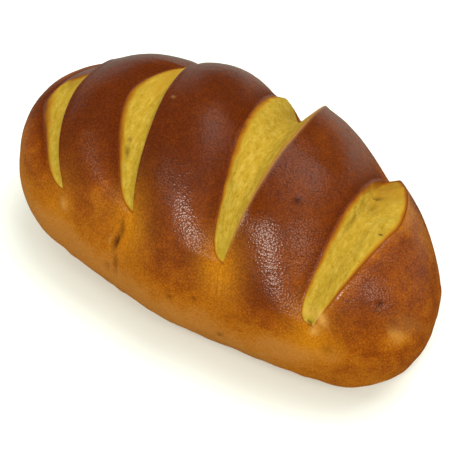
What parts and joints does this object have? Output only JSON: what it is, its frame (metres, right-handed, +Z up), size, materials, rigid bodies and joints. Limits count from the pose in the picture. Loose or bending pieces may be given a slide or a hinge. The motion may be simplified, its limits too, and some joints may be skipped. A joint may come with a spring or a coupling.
{
  "type": "pumpkin bread loaf",
  "caption": "Oval egg-washed bread loaf with a domed browned crust, opened along slanting slashes over a yellow crumb, on a flat underside.",
  "frame": {"origin": "centre of the loaf's bounding box, on the flat underside", "axes": "+X along the loaf's length towards the end that is nearest in the picture, +Y towards the far side, +Z up"},
  "size_m": [0.2034, 0.1194, 0.0824],
  "materials": {
    "crust": null
  },
  "bodies": {
    "root": {"loaf": "crust"}
  },
  "joints": []
}
